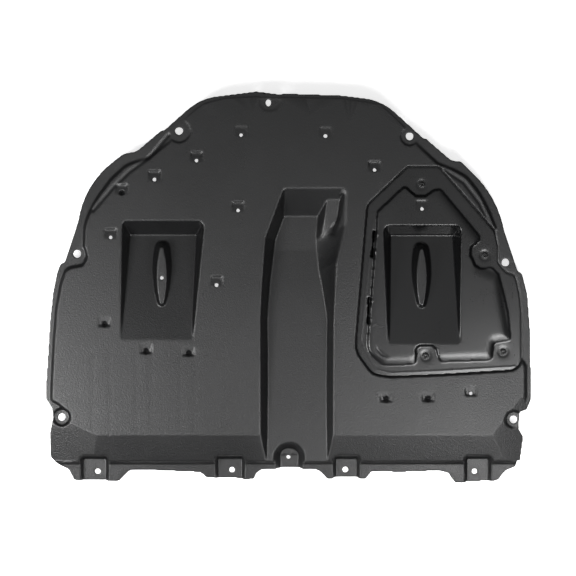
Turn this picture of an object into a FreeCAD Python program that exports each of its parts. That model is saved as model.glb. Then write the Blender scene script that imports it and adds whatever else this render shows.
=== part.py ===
"""Engine splash shield: a moulded undertray with a screwed access cover.

The frame is the part's own: +Z is the road face, +Y the front of the vehicle, +X its side.
The part lies on its back, so its lowest points (the ends of the two pockets, the bottom of the
channel and the rear pads) are at Z = 0. All sizes are in millimetres and degrees.

The panel is one sheet of even wall. Each recess is a form pressed into it: a cavity that is
cut away and the same form, one wall larger, that is left round it.
"""
import FreeCAD
import Part
import math
import os
from FreeCAD import Placement, Rotation, Vector

SIZES = {
    "field_level": 46.0,
    "wall": 3.0,
    "margin": 1.0,
    "edge_flare": 1.6,
    "lip_drop": 5.0,
    "lip_run": 5.0,
    "band_start": -294.0,
    "band_drop": 17.0,
    "step_line": -349.0,
    "step_run": 3.0,
    "strip_drop": 26.0,
    "strip_tilt": 6.5,
    "pad_draft": 10.0,
    "pad_front": -342.0,
    "centre_pad_draft": 27.0,
    "pocket_draft": 17.0,
    "pocket_ramp_end": -104.0,
    "pocket_front": 134.0,
    "pocket_floor_front": 108.0,
    "channel_front": 200.0,
    "channel_floor_front": 145.0,
    "channel_flat_end": 76.0,
    "ledge_drop": 29.0,
    "ledge_draft": 24.0,
    "island_top_drop": 5.0,
    "island_draft": 17.0,
    "rear_seat_drop": 10.0,
    "seat_draft": 35.0,
    "mount_hole_radius": 7.75,
    "tab_hole_radius": 6.0,
    "centre_hole_radius": 4.0,
    "drain_radius": 4.0,
    "drain_width": 25.0,
    "drain_length": 21.0,
    "drain_depth": 5.0,
    "drain_side_run": 3.0,
    "drain_end_run": 2.5,
    "drain_floor": 4.0,
    "front_drain_offset": 8.0,
    "rear_drain_offset": 5.0,
    "cover_gap": 2.0,
    "cover_wall": 2.5,
    "cover_seat_drop": 8.5,
    "cover_crown_drop": 0.5,
    "crown_run": 3.0,
    "dome_run": 17.0,
    "dome_drop": 4.0,
    "bed_draft": 3.0,
    "bed_flare": 1.0,
    "cover_pocket_front": 125.0,
    "cover_pocket_floor_front": 107.0,
    "cover_pocket_ramp_end": -112.0,
    "aperture_clearance": 1.0,
    "latch_slot_width": 3.6,
    "latch_slot_length": 57.0,
    "screw_head_radius": 6.5,
    "screw_head_height": 2.6,
    "screw_socket_radius": 3.4,
    "screw_radius": 2.9,
    "screw_clearance": 0.6,
    "screw_length": 14.0,
    "thread_clearance": 0.05,
    "nut_width": 16.0,
    "nut_height": 7.0,
}

# Plan outlines: each corner is x, y and the radius that rounds it.
FRONT_EDGE = [
    (-63, 393, 20), (-15, 387, 6), (-8, 389, 6), (106, 385, 150), (188, 375, 110),
    (270, 300, 5), (277, 298, 8),
]
RIGHT_SIDE = [
    (327, 255, 22), (347, 253, 12), (419, 182, 215), (433, 114, 60), (459, 36, 6),
    (469, 27, 8), (479, -12, 150), (485, -94, 200), (486, -224, 8), (478, -243, 6),
    (464, -248, 4), (462, -283, 6), (471, -297, 8), (471, -306, 12), (466, -346, 1.5),
]
REAR_EDGE = [
    (459, -347, 1), (458, -358, 4), (441, -365, 10), (434, -370, 6), (423, -385, 5),
    (415, -388, 6), (360, -390, 12), (349, -392, 8), (337, -391, 8), (328, -381, 6),
    (324, -372, 6), (304, -367, 20), (224, -370, 80), (168, -368, 6), (156, -384, 2.5),
    (143, -384, 1), (140, -380, 1), (93, -381, 1), (89, -384, 1.5), (80, -384, 2.5),
    (64, -368, 6), (56, -364, 6), (30, -364, 5), (22, -361, 5), (-16, -362, 5),
    (-26, -364, 5), (-54, -365, 9), (-64, -372, 8), (-69, -384, 2.5), (-88, -385, 10),
    (-104, -383, 12), (-163, -381, 6), (-176, -370, 7), (-276, -366, 60),
    (-319, -366, 8), (-338, -386, 4), (-344, -388, 4), (-430, -386, 5),
    (-441, -364, 5), (-461, -354, 8), (-471, -346, 4),
]
LEFT_SIDE = [
    (-476, -339, 5), (-476, -288, 14), (-470, -258, 14), (-472, -241, 8), (-484, -222, 10),
    (-485, -208, 24), (-476, -64, 300), (-470, -8, 120), (-462, 31, 20),
    (-456, 47, 6), (-447, 52, 5), (-427, 111, 24), (-419, 138, 40),
    (-407, 208, 178), (-329, 269, 30), (-303, 273, 30), (-255, 314, 4), (-247, 316, 8),
    (-176, 379, 110),
]
PANEL_EDGE = FRONT_EDGE + RIGHT_SIDE + REAR_EDGE + LEFT_SIDE

# The raised field inside the recessed lip. Where the cover lies it runs under the cover.
FIELD = [
    (-64, 380, 6), (106, 376, 150), (184, 366, 100), (231, 320, 8), (258, 284, 6),
    (298, 247, 40), (328, 235, 50), (354, 222, 50), (382, 188, 200), (402, 146, 200),
    (412, 120, 8), (402, 96, 8), (440, -24, 30), (452, -147, 6), (467, -147, 5),
    (473, -158, 10), (473, -220, 12), (466, -238, 10), (452, -246, 6), (440, -264, 10),
    (443, -280, 8), (453, -288, 8), (463, -306, 8), (463, -364, 1), (-469, -364, 1),
    (-469, -296, 4), (-449, -288, 16), (-439, -260, 18), (-447, -239, 18), (-461, -228, 10),
    (-471, -224, 6), (-471, -204, 60), (-466, -104, 300), (-461, -40, 200), (-452, 8, 120),
    (-443, 35, 14), (-432, 39, 8), (-409, 43, 14), (-399, 62, 14), (-406, 83, 10),
    (-405, 126, 90), (-386, 170, 160), (-352, 216, 60), (-322, 244, 40), (-275, 259, 14),
    (-235, 290, 6), (-198, 342, 12), (-168, 367, 110), (-124, 377, 120),
]
COVER_EDGE = [
    (240, 240, 8), (302, 240, 8), (413, 112, 30), (419, 84, 24), (419, 50, 20),
    (436, 30, 16), (454, 24, 12), (462, -10, 80), (466, -48, 100), (466, -162, 24),
    (304, -172, 300), (206, -176, 100), (170, -171, 30), (139, -128, 40), (138, -106, 60),
    (161, 165, 22),
]
# The cover's raised crown, which leaves a low seat round each screw.
COVER_CROWN = [
    (230, 202, 6), (237, 202, 5), (256, 185, 5), (275, 185, 6), (293, 198, 5),
    (306, 199, 8), (385, 104, 8), (384, 95, 8), (368, 82, 8), (367, 66, 12),
    (375, 46, 10), (386, 40, 8), (408, 42, 10), (422, 29, 12), (433, -13, 120),
    (441, -48, 120), (447, -105, 5), (416, -110, 6), (411, -116, 6), (410, -142, 8),
    (398, -146, 8), (306, -149, 5), (301, -142, 6), (295, -123, 8), (288, -117, 8),
    (262, -117, 8), (258, -123, 6), (257, -149, 6), (251, -154, 6), (194, -156, 20),
    (179, -150, 24), (161, -128, 30), (158, -110, 40), (176, 115, 150),
    (178, 153, 12),
]
# The line from which the crown's top falls away gently to its edge.
COVER_DOME = [
    (178, 153, 0), (230, 202, 0), (305, 202, 0), (386, 102, 0), (386, 44, 0), (424, 28, 0),
    (447, -105, 0), (440, -148, 0), (200, -156, 0), (158, -120, 0), (176, 115, 0),
]
CHANNEL_MOUTH = [
    (-7, 200, 8), (117, 200, 14), (116, 126, 0), (97, 52, 0), (90, -64, 0),
    (90, -364, 0), (-54, -364, 0), (-54, -64, 0), (-51, 6, 0), (-44, 101, 0),
]
CHANNEL_FLOOR = [
    (1, 170, 8), (60, 170, 8), (56, 98, 0), (60, 36, 0), (78, -64, 0),
    (61, -364, 0), (-25, -364, 0), (-40, -64, 0), (-35.5, 16, 0), (-27, 96, 0),
]
CHANNEL_LEDGE = [(62, 191, 0), (114, 191, 0), (109, 142, 0), (98, 98, 0), (62, 98, 0)]
LEFT_POCKET = [(-331, 134, 9), (-168, 134, 14), (-192, -104, 10), (-334, -104, 10)]
COVER_POCKET = [(192, 125, 12), (346, 125, 12), (343, -112, 10), (202, -112, 10)]
ISLAND = [(-4, 58, 4), (4, 58, 4), (16, 0, 230), (4, -58, 4), (-4, -58, 4), (-16, 0, 230)]
LEFT_ISLAND_CENTRE = (-253, 25)
COVER_ISLAND_CENTRE = (268, 22)

# Rear pads: the left and right edges of each floor.
PAD_SPANS = {"outer_left": (-413, -365), "inner_left": (-142, -91), "inner_right": (95, 140),
             "outer_right": (359, 405)}
PAD_REAR = -400.0
CENTRE_PAD = [(-16, -400, 1), (-16, -322, 17), (21, -322, 17), (21, -400, 1)]
SLOT_SEAT = [(-59, 410, 2), (-14, 410, 2), (-14, 353, 20), (-59, 353, 20)]
FRONT_SLOT = [(-44.2, 377.6, 4.9), (-34.2, 377.6, 4.9), (-34.2, 363.6, 4.9), (-44.2, 363.6, 4.9)]

# Fixing holes of the outer lip: x, y, the radius of the round seat there and how deep it is.
LIP_HOLES = {
    "front_left": (-218.0, 314.2, 23.0, "lip_drop"),
    "front_right": (243.3, 303.4, 18.0, "lip_drop"),
    "side_left": (-422.2, 68.4, 18.0, "lip_drop"),
    "side_right": (435.2, 51.1, 17.0, "lip_drop"),
    "rear_left": (-453.2, -258.6, 17.0, "rear_seat_drop"),
    "rear_right": (452.0, -263.2, 17.0, "rear_seat_drop"),
}
TAB_HOLES = {"outer_left": (-383.7, -369.5), "inner_left": (-113.0, -366.3),
             "inner_right": (115.6, -366.3), "outer_right": (376.0, -369.5)}
CENTRE_HOLE = (0.8, -340.6)
ISLAND_HOLE = (-253.0, 20.0)

# Drain scoops by their hole: those that are deep at the front, then those deep at the rear.
FRONT_DRAINS = [
    (-94, 306), (75, 304), (-183, 255), (-267, 217), (-333, 190),
    (173, 236), (-100, 155), (-355, 101), (-143, 6),
]
REAR_DRAINS = [(-367, -72), (-284, -126), (-199, -131), (196, -223), (280, -222), (366, -211)]
COVER_DRAIN = (268, 158)

COVER_SCREWS = {"front": (268, 207), "side": (394, 65), "rear_left": (276, -136),
                "rear_right": (431, -128)}
# Latch slots at the cover's edge: centre and turn from the Y axis.
LATCH_SLOTS = {"front": (170.2, 88.2, -5.2), "rear": (160.4, -45.0, -2.3)}

REACH = max(abs(along) for corner in PANEL_EDGE for along in corner[:2]) + SIZES["margin"]
SIDE_VIEW = Rotation(Vector(1, 1, 1), 120)
FACE_DOWN = Rotation(Vector(1, 0, 0), -90)

# Roundings that leave their corner by less than this are left out, on the road face and behind.
FACE_EASE = 0.7
UNDER_EASE = 2.0
LEAST_RADIUS = 0.4

doc = FreeCAD.newDocument("splash_shield")


def make_size_sheet():
    """The driving sizes, one named cell each."""
    sheet = doc.addObject("Spreadsheet::Sheet", "sizes")
    for row, (name, size) in enumerate(SIZES.items(), start=1):
        sheet.set(f"A{row}", name)
        sheet.set(f"B{row}", str(size))
        sheet.setAlias(f"B{row}", name)
    doc.recompute()
    return sheet


def cell(formula):
    """Writes a formula of size names as the sheet's own cells."""
    words = formula.replace("(", " ( ").replace(")", " ) ").split()
    return " ".join(f"sizes.{word}" if word in SIZES else word for word in words)


def bind(thing, **formulas):
    """Binds properties of an object to formulas of size names."""
    for name, formula in formulas.items():
        thing.setExpression(name.replace("__", "."), cell(formula))


def corner_turn(before, corner, after):
    """The unit directions into and out of a corner, and the signed turn between them."""
    into = Vector(corner[0] - before[0], corner[1] - before[1], 0).normalize()
    out = Vector(after[0] - corner[0], after[1] - corner[1], 0).normalize()
    turn = math.atan2(into.x * out.y - into.y * out.x, into.dot(out))
    return into, out, turn


def grown(points, distance):
    """A clockwise outline moved outwards by a distance, or inwards where it is negative."""
    moved = []
    for i, corner in enumerate(points):
        into, out, turn = corner_turn(points[i - 1], corner, points[(i + 1) % len(points)])
        left = Vector(-into.y, into.x, 0)
        along = distance * math.tan(-turn / 2)
        radius = corner[2] - distance * math.copysign(1, turn)
        spot = Vector(corner[0], corner[1], 0) + left * distance + into * along
        moved.append((spot.x, spot.y, max(radius, LEAST_RADIUS) if corner[2] else 0))
    return moved


def plain(points, most):
    """An outline without those roundings that leave their corner by less than a distance."""
    kept = []
    for i, corner in enumerate(points):
        turn = corner_turn(points[i - 1], corner, points[(i + 1) % len(points)])[2]
        bulge = corner[2] * (1 / math.cos(turn / 2) - 1)
        kept.append((corner[0], corner[1], corner[2] if bulge > most else 0))
    return kept


def outline_edges(points):
    """Lines joined by tangent arcs through a rounded outline."""
    count = len(points)
    ends = []
    for i, corner in enumerate(points):
        into, out, turn = corner_turn(points[i - 1], corner, points[(i + 1) % count])
        spot = Vector(corner[0], corner[1], 0)
        tangent = corner[2] * math.tan(abs(turn) / 2)
        bulge = corner[2] * (1 / math.cos(turn / 2) - 1)
        inward = (out - into).normalize()
        ends.append((spot - into * tangent, spot + inward * bulge, spot + out * tangent))
    edges = []
    for i, (start, middle, end) in enumerate(ends):
        if points[i][2]:
            edges.append(Part.Arc(start, middle, end))
        edges.append(Part.LineSegment(end, ends[(i + 1) % count][0]))
    return edges


def plan_sketch(name, points, level):
    """A sketch seen from above, at a height given as a formula."""
    sketch = doc.addObject("Sketcher::SketchObject", name)
    sketch.addGeometry(outline_edges(points), False)
    bind(sketch, Placement__Base__z=level)
    return sketch


def side_sketch(name, points):
    """A sketch of straight lines in the Y Z plane, seen from the side."""
    sketch = doc.addObject("Sketcher::SketchObject", name)
    corners = [Vector(y, z, 0) for y, z in points]
    lines = [Part.LineSegment(corners[i - 1], corners[i]) for i in range(len(corners))]
    sketch.addGeometry(lines, False)
    sketch.Placement = Placement(Vector(), SIDE_VIEW)
    return sketch


def prism(name, sketch, length):
    """A plan sketch pushed straight up."""
    solid = doc.addObject("Part::Extrusion", name)
    solid.Base = sketch
    solid.DirMode = "Custom"
    solid.Dir = Vector(0, 0, 1)
    solid.Solid = True
    bind(solid, LengthFwd=length)
    return solid


def side_prism(name, points):
    """A side profile pushed across the whole width of the part."""
    solid = doc.addObject("Part::Extrusion", name)
    solid.Base = side_sketch(name + "_profile", points)
    solid.DirMode = "Normal"
    solid.Solid = True
    solid.Symmetric = True
    solid.LengthFwd = 2 * REACH
    return solid


def loft(name, sections):
    """A ruled solid through sketches that have the same number of edges."""
    solid = doc.addObject("Part::Loft", name)
    solid.Sections = sections
    solid.Solid = True
    solid.Ruled = True
    return solid


def fuse(name, solids):
    """Several solids joined into one."""
    joined = doc.addObject("Part::MultiFuse", name)
    joined.Shapes = solids
    return joined


def common(name, base, tool):
    """What two solids share."""
    shared = doc.addObject("Part::Common", name)
    shared.Base = base
    shared.Tool = tool
    return shared


def cut(name, base, tool):
    """The first solid without the second."""
    rest = doc.addObject("Part::Cut", name)
    rest.Base = base
    rest.Tool = tool
    return rest


def cylinder(name, place, low, height, radius):
    """An upright cylinder; its height, foot and radius are formulas."""
    solid = doc.addObject("Part::Cylinder", name)
    solid.Placement.Base = Vector(place[0], place[1], 0)
    bind(solid, Radius=radius, Height=height, Placement__Base__z=low)
    return solid


def through_hole(name, place, radius):
    """A drill that passes the whole part."""
    return cylinder(name, place, "0 - margin", "field_level + 2 * margin", radius)


def size(name):
    """The value of a size, for the points of a sketch."""
    return SIZES[name]


def top_profile(front_drop, step_drop, sink, shift):
    """Side profile of all that lies under the road face, from the front edge to the rear one.

    The field is flat, falls along a sloping band, drops at the step and ends in a tilted strip.
    sink lowers the whole profile and shift moves its step forwards, for the face behind the wall.
    """
    level = size("field_level") - sink
    step = size("step_line") + shift
    slope = (step_drop - front_drop) / (size("step_line") - size("band_start"))
    foot = -size("field_level")
    step_foot = step - size("step_run")
    fall = math.tan(math.radians(size("strip_tilt"))) * (REACH + step_foot)
    return [
        (REACH, level - front_drop),
        (size("band_start"), level - front_drop),
        (step, level - step_drop - slope * shift),
        (step_foot, level - size("strip_drop")),
        (-REACH, level - size("strip_drop") - fall),
        (-REACH, foot - sink),
        (REACH, foot - sink),
    ]


def lip_step_drop():
    """How far the lip lies below the field where the band meets the step."""
    return size("band_drop") + size("lip_drop") / 2


def field_loft(name, inset, sink):
    """The raised field with its sloping edge, which runs down to the lip and past it."""
    below = f"lip_drop + {sink}"
    outline = plain(FIELD, UNDER_EASE if inset else FACE_EASE)
    inner = grown(outline, -inset)
    outer = grown(outline, size("lip_run") - inset)
    return loft(name, [
        plan_sketch(name + "_crest", inner, f"field_level - {sink}"),
        plan_sketch(name + "_toe", outer, f"field_level - ( {below} )"),
        plan_sketch(name + "_foot", outer, "0"),
    ])


def panel_form(name, inset, sink, shift):
    """All that lies under the panel's faces, before any recess."""
    field = side_prism(name + "_field_level", top_profile(0, size("band_drop"), sink, shift))
    lip_profile = top_profile(size("lip_drop"), lip_step_drop(), sink, shift)
    lip = side_prism(name + "_lip_level", lip_profile)
    crest = common(name + "_crest", field, field_loft(name + "_field", inset, sink))
    return fuse(name + "_form", [crest, lip])


def ramp_profile(front, floor_front, ramp_end, top, deep, wall):
    """Side profile of a recess that is deep at the front and rises to nothing at the rear."""
    front_slope = (front - floor_front) / deep
    rear_slope = (floor_front - ramp_end) / deep
    over = 0 if wall else size("margin")
    rise_end = (ramp_end, top - wall) if wall else (ramp_end - rear_slope * over, top + over)
    profile = [
        (front + wall + front_slope * over, top + over),
        (floor_front + wall / 2, top - deep - wall),
        rise_end,
    ]
    return profile + [(ramp_end, top)] if wall else profile


def flare(name, points, top, run):
    """The eased edge round a recess's mouth."""
    rim = plan_sketch(name + "_rim", grown(points, run + size("margin")), f"{top} + margin")
    bed = plan_sketch(name + "_bed", grown(points, 0), f"{top} - {run}")
    return loft(name, [rim, bed])


def tapered(name, points, top, drop, slope):
    """A recess whose walls close in by the slope as it goes down."""
    mouth = plan_sketch(name + "_mouth", points, top)
    narrow = grown(points, -slope * drop)
    foot = plan_sketch(name + "_foot", narrow, f"{top} - {drop}")
    return loft(name, [mouth, foot])


def island(name, centre, inset, top_drop, depth):
    """The lens-shaped island that stands in a pocket; it widens downwards."""
    points = [(centre[0] + x, centre[1] + y, r) for x, y, r in ISLAND]
    slope = math.tan(math.radians(size("island_draft")))
    if inset:
        points = plain(points, UNDER_EASE)
    head = plan_sketch(name + "_head", grown(points, -inset), top_drop)
    foot = plan_sketch(name + "_foot", grown(points, slope * depth - inset), f"{top_drop} - {depth}")
    return loft(name, [head, foot])


def ramped_pocket(name, points, span, top, top_level, wall, centre):
    """The cavity and the outer form of a ramped pocket with its island."""
    front, floor_front, ramp_end = span
    deep = top_level - wall
    slope = math.tan(math.radians(size("pocket_draft")))
    easing = size("edge_flare")
    well = fuse(name + "_well", [
        tapered(name + "_walls", points, top, deep, slope),
        flare(name + "_flare", points, top, easing),
    ])
    ramp = side_prism(name + "_ramp", ramp_profile(front, floor_front, ramp_end, top_level, deep, 0))
    island_top = f"{top} - island_top_drop"
    block = island(name + "_island", centre, 0, island_top, deep)
    cavity = cut(name + "_cavity", common(name + "_space", well, ramp), block)
    outer = plain(grown(points, wall), UNDER_EASE)
    shell_walls = tapered(name + "_shell_walls", outer, top, deep + wall, slope)
    shell_ramp = side_prism(
        name + "_shell_ramp", ramp_profile(front, floor_front, ramp_end, top_level, deep, wall))
    hollow = island(name + "_island_hollow", centre, wall, f"{island_top} - {wall}", deep + wall)
    shell = cut(name + "_shell", common(name + "_bulk", shell_walls, shell_ramp), hollow)
    return cavity, shell


def channel():
    """The cavity and the outer form of the long channel with its side ledge."""
    top = size("field_level")
    wall = size("wall")
    deep = top - wall
    margin = size("margin")
    front = size("channel_front")
    floor_front = size("channel_floor_front")
    front_slope = (front - floor_front) / deep
    end = size("step_line")
    end_drop = size("band_drop")
    profile = [
        (front + front_slope * margin, top + margin),
        (floor_front, top - deep),
        (size("channel_flat_end"), top - deep),
        (end, top - end_drop),
        (end, top + margin),
    ]
    shell_profile = [
        (front + wall, top),
        (floor_front + wall / 2, top - deep - wall),
        (size("channel_flat_end"), top - deep - wall),
        (end, top - end_drop - wall),
        (end, top),
    ]
    trough = loft("channel_trough", [
        plan_sketch("channel_mouth", CHANNEL_MOUTH, "field_level"),
        plan_sketch("channel_floor", CHANNEL_FLOOR, "wall"),
    ])
    shell_mouth = [(x, y, 0) for x, y, r in grown(CHANNEL_MOUTH, wall)]
    shell_floor = [(x, y, 0) for x, y, r in grown(CHANNEL_FLOOR, wall)]
    shell_trough = loft("channel_shell_trough", [
        plan_sketch("channel_shell_mouth", shell_mouth, "field_level"),
        plan_sketch("channel_shell_floor", shell_floor, "0"),
    ])
    slope = math.tan(math.radians(size("ledge_draft")))
    ledge = tapered("channel_ledge", CHANNEL_LEDGE, "field_level", size("ledge_drop"), slope)
    easing = flare("channel_flare", CHANNEL_MOUTH, "field_level", size("edge_flare"))
    open_space = fuse("channel_open", [trough, ledge, easing])
    cavity = common("channel_cavity", open_space, side_prism("channel_run", profile))
    shell = common("channel_shell", shell_trough, side_prism("channel_shell_run", shell_profile))
    ledge_shell = tapered("channel_ledge_shell", grown(CHANNEL_LEDGE, wall), "field_level",
                          size("ledge_drop") + wall, slope)
    return cavity, fuse("channel_shells", [shell, ledge_shell])


def drain_wedge(name, place, turned, extra):
    """A scoop with one deep end; extra makes the same form one wall larger."""
    width = f"drain_width + 2 * {extra}"
    length = f"drain_length + 2 * {extra}"
    solid = doc.addObject("Part::Wedge", name)
    bind(solid, Xmin=f"-( {width} ) / 2", Xmax=f"( {width} ) / 2",
         X2min=f"drain_side_run - ( {width} ) / 2", X2max=f"( {width} ) / 2 - drain_side_run",
         Ymin="0", Ymax=f"drain_depth + {extra}",
         Zmin=f"-( {length} ) / 2", Zmax=f"( {length} ) / 2",
         Z2min=f"( {length} ) / 2 - drain_end_run - drain_floor",
         Z2max=f"( {length} ) / 2 - drain_end_run")
    quarter = Rotation(Vector(0, 0, 1), 180) if turned else Rotation()
    solid.Placement = Placement(Vector(place[0], place[1], 0), quarter.multiply(FACE_DOWN))
    return solid


def drain(name, hole, turned, top, wall):
    """The cavity, the outer form and the drill of one drain scoop."""
    offset = size("rear_drain_offset" if turned else "front_drain_offset")
    place = (hole[0], hole[1] + offset)
    cavity = drain_wedge(name + "_scoop", place, turned, "0")
    shell = drain_wedge(name + "_shell", place, turned, wall)
    for solid in (cavity, shell):
        bind(solid, Placement__Base__z=top)
    return cavity, shell, through_hole(name + "_hole", hole, "drain_radius")


def rear_pad(name, points, slope, wall):
    """A pad pressed down from the rear strip; it widens upwards."""
    top = size("field_level")
    cavity = loft(name + "_cavity", [
        plan_sketch(name + "_floor", points, "wall"),
        plan_sketch(name + "_head", grown(points, slope * (top - wall)), "field_level"),
    ])
    under = [(x, y, 0) for x, y, r in points]
    shell = loft(name + "_shell", [
        plan_sketch(name + "_shell_floor", grown(under, wall), "0"),
        plan_sketch(name + "_shell_head", grown(under, slope * top + wall), "field_level"),
    ])
    return cavity, shell


def lip_seat(name, x, y, radius, drop):
    """A round seat pressed in round a fixing hole, to the depth that a size gives."""
    place = (x, y)
    cavity = cylinder(name + "_seat", place, f"field_level - {drop}", f"{drop} + margin",
                      f"{radius}")
    shell = cylinder(name + "_seat_shell", place, f"field_level - {drop} - wall",
                     f"{drop} + wall", f"{radius} + wall")
    return cavity, shell, through_hole(name + "_hole", place, "mount_hole_radius")


def latch_slot(name, x, y, turn):
    """A narrow slot at the cover's edge, for its snap latches."""
    box = doc.addObject("Part::Box", name)
    spin = Rotation(Vector(0, 0, 1), turn)
    half = Vector(size("latch_slot_width") / 2, size("latch_slot_length") / 2, 0)
    box.Placement = Placement(Vector(x, y, 0) - spin.multVec(half), spin)
    bind(box, Width="latch_slot_length", Length="latch_slot_width", Height="field_level",
         Placement__Base__z="field_level - cover_seat_drop - margin")
    return box


def make_panel():
    """The moulded panel, one solid."""
    wall = size("wall")
    cavities = []
    shells = []
    drills = []

    span = (size("pocket_front"), size("pocket_floor_front"), size("pocket_ramp_end"))
    pocket = ramped_pocket("left_pocket", LEFT_POCKET, span, "field_level", size("field_level"),
                           wall, LEFT_ISLAND_CENTRE)
    run = channel()
    cavities += [pocket[0], run[0]]
    shells += [pocket[1], run[1]]
    drills.append(through_hole("island_hole", ISLAND_HOLE, "drain_radius"))

    slope = math.tan(math.radians(size("pad_draft")))
    for side, (left, right) in PAD_SPANS.items():
        front = size("pad_front")
        points = [(left, PAD_REAR, 1), (left, front, 4), (right, front, 4), (right, PAD_REAR, 1)]
        pad = rear_pad("pad_" + side, points, slope, wall)
        cavities.append(pad[0])
        shells.append(pad[1])
        drills.append(through_hole("tab_hole_" + side, TAB_HOLES[side], "tab_hole_radius"))
    centre_slope = math.tan(math.radians(size("centre_pad_draft")))
    pad = rear_pad("pad_centre", CENTRE_PAD, centre_slope, wall)
    cavities.append(pad[0])
    shells.append(pad[1])
    drills.append(through_hole("centre_hole", CENTRE_HOLE, "centre_hole_radius"))

    for side, (x, y, radius, drop) in LIP_HOLES.items():
        seat = lip_seat(side, x, y, radius, drop)
        cavities.append(seat[0])
        shells.append(seat[1])
        drills.append(seat[2])
    seat_slope = math.tan(math.radians(size("seat_draft")))
    drop = size("lip_drop")
    cavities.append(tapered("slot_seat", SLOT_SEAT, "field_level", drop, seat_slope))
    shells.append(tapered("slot_seat_shell", plain(grown(SLOT_SEAT, wall), UNDER_EASE),
                          "field_level", drop + wall, seat_slope))
    drills.append(prism("front_slot", plan_sketch("front_slot_plan", FRONT_SLOT, "0 - margin"),
                        "field_level + 2 * margin"))

    for turned, places in ((False, FRONT_DRAINS), (True, REAR_DRAINS)):
        for number, hole in enumerate(places, start=1):
            name = f"{'rear' if turned else 'front'}_drain_{number}"
            scoop = drain(name, hole, turned, "field_level", "wall")
            cavities.append(scoop[0])
            shells.append(scoop[1])
            drills.append(scoop[2])

    gap = size("cover_gap")
    rest = size("cover_seat_drop")
    bed = grown(plain(COVER_EDGE, FACE_EASE), gap)
    under_bed = grown(plain(COVER_EDGE, UNDER_EASE), gap + wall)
    bed_slope = math.tan(math.radians(size("bed_draft")))
    cavities.append(fuse("cover_bed", [
        tapered("cover_bed_walls", bed, "field_level", rest, bed_slope),
        flare("cover_bed_flare", bed, "field_level", size("bed_flare")),
    ]))
    shells.append(tapered("cover_bed_shell", under_bed, "field_level", rest + wall, bed_slope))
    inset = size("cover_wall") + size("aperture_clearance")
    aperture = grown(plain(COVER_CROWN, UNDER_EASE), -inset)
    drills.append(prism("cover_aperture", plan_sketch("aperture_plan", aperture, "0 - margin"),
                        "field_level + 2 * margin"))
    for side, place in COVER_SCREWS.items():
        drills.append(through_hole("screw_bed_" + side, place, "screw_radius + screw_clearance"))

    outline = plain(PANEL_EDGE, FACE_EASE)
    edge = prism("panel_edge", plan_sketch("panel_edge_plan", outline, "0 - margin"),
                 "field_level + 2 * margin")
    form = panel_form("outer", 0, 0, 0)
    inside = panel_form("inner", wall, wall, wall)
    hollow = cut("hollow", inside, fuse("recess_shells", shells))
    cuts = fuse("panel_cuts", [hollow] + cavities + drills)
    doc.recompute()
    panel = doc.addObject("Part::Feature", "shield_panel")
    panel.Shape = form.Shape.common(edge.Shape).cut(cuts.Shape)
    return panel


def tapered_dome(name, top, drop, slope):
    """What lies under a flat top whose edges fall away gently, down to a drop."""
    return loft(name, [
        plan_sketch(name + "_foot", grown(COVER_DOME, slope * drop - size("dome_run")),
                    f"{top} - {drop}"),
        plan_sketch(name + "_head", grown(COVER_DOME, -size("dome_run")), top),
    ])


def make_cover():
    """The access cover: a low flange, a raised crown with a pocket, and screw seats."""
    wall = size("cover_wall")
    top = "field_level - cover_crown_drop"
    top_level = size("field_level") - size("cover_crown_drop")
    seat = "field_level - cover_seat_drop"
    rise = size("cover_seat_drop") - size("cover_crown_drop")
    slope = size("crown_run") / rise
    dome_slope = size("dome_run") / size("dome_drop")
    edge = plain(COVER_EDGE, FACE_EASE)
    crown_line = plain(COVER_CROWN, FACE_EASE)
    hollow_line = plain(COVER_CROWN, UNDER_EASE)

    flange = prism("cover_flange", plan_sketch("cover_flange_plan", edge, seat), "cover_wall")
    block = loft("cover_crown_block", [
        plan_sketch("cover_crown_foot", crown_line, seat),
        plan_sketch("cover_crown_head", grown(crown_line, -slope * rise), top),
    ])
    dome = tapered_dome("cover_dome", top, rise, dome_slope)
    crown = common("cover_crown", block, dome)
    space = loft("cover_space", [
        plan_sketch("cover_space_foot", grown(hollow_line, slope - wall), f"{seat} - margin"),
        plan_sketch("cover_space_head", grown(hollow_line, -slope * (rise - wall) - wall),
                    f"{top} - cover_wall"),
    ])
    under_dome = tapered_dome("cover_under_dome", f"{top} - cover_wall", rise, dome_slope)
    hollow = common("cover_hollow", space, under_dome)
    span = (size("cover_pocket_front"), size("cover_pocket_floor_front"),
            size("cover_pocket_ramp_end"))
    pocket = ramped_pocket("cover_pocket", COVER_POCKET, span, top, top_level, wall,
                           COVER_ISLAND_CENTRE)
    scoop = drain("cover_drain", COVER_DRAIN, False, top, "cover_wall")
    tray = cut("cover_tray", fuse("cover_top", [flange, crown]), hollow)
    blank = fuse("cover_blank", [tray, pocket[1], scoop[1]])
    cuts = [pocket[0], scoop[0], scoop[2]]
    for side, (x, y, turn) in LATCH_SLOTS.items():
        cuts.append(latch_slot("latch_slot_" + side, x, y, turn))
    for side, place in COVER_SCREWS.items():
        cuts.append(through_hole("screw_hole_" + side, place, "screw_radius + screw_clearance"))
    return cut("access_cover", blank, fuse("cover_cuts", cuts))


def make_screw(side, place):
    """One cover screw: a flat round head with a six-sided socket, over a plain shank."""
    base = "field_level - cover_seat_drop + cover_wall"
    head = cylinder("screw_head_" + side, place, base, "screw_head_height",
                    "screw_head_radius")
    socket = doc.addObject("Part::Prism", "screw_socket_" + side)
    socket.Polygon = 6
    socket.Placement.Base = Vector(place[0], place[1], 0)
    bind(socket, Circumradius="screw_socket_radius", Height="screw_head_height",
         Placement__Base__z=f"{base} + screw_head_height / 4")
    shank = cylinder("screw_shank_" + side, place, f"{base} - screw_length",
                     "screw_length + screw_head_height / 4", "screw_radius")
    return cut("cover_screw_" + side, fuse("screw_body_" + side, [head, shank]), socket)


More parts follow.
